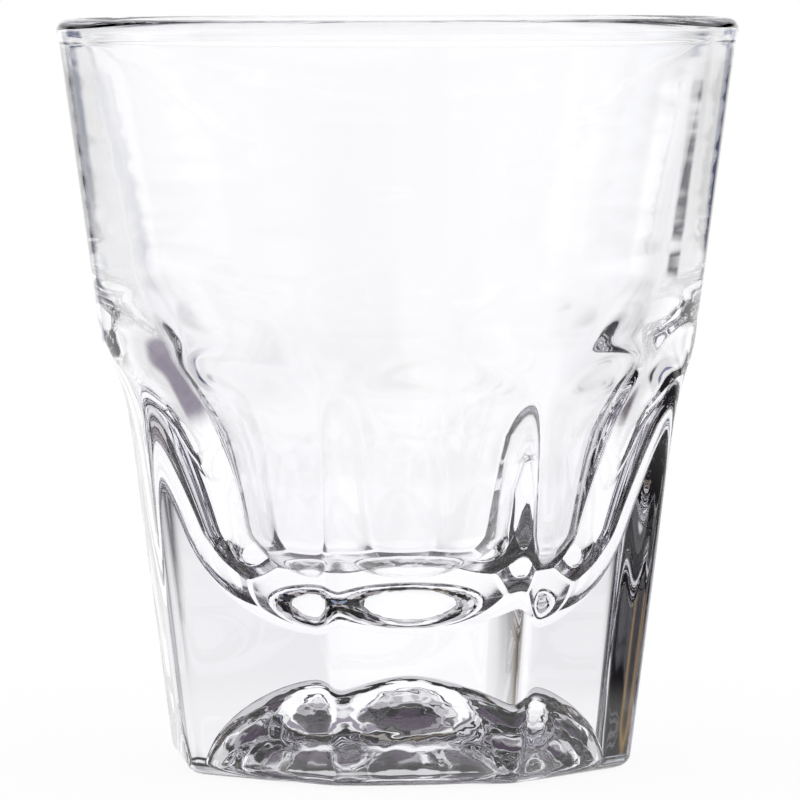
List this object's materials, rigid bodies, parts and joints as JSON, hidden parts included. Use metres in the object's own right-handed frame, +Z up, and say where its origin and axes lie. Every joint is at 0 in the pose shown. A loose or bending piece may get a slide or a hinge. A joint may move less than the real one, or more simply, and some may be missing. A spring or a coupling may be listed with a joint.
{
  "type": "water glass",
  "caption": "Panelled clear-glass water tumbler: tapered round wall with a beaded lip over flat arched panels, thick base with a domed underside.",
  "frame": {"origin": "centre of the base, on the plane that the base ring stands on", "axes": "+Z up along the axis of the glass, -Y towards the panel that faces the picture most squarely, +X to the right of it"},
  "size_m": [0.08, 0.08, 0.0876],
  "materials": {
    "clear_glass": "clear fire-polished glass"
  },
  "bodies": {
    "root": {"tumbler": "clear_glass"}
  },
  "joints": []
}
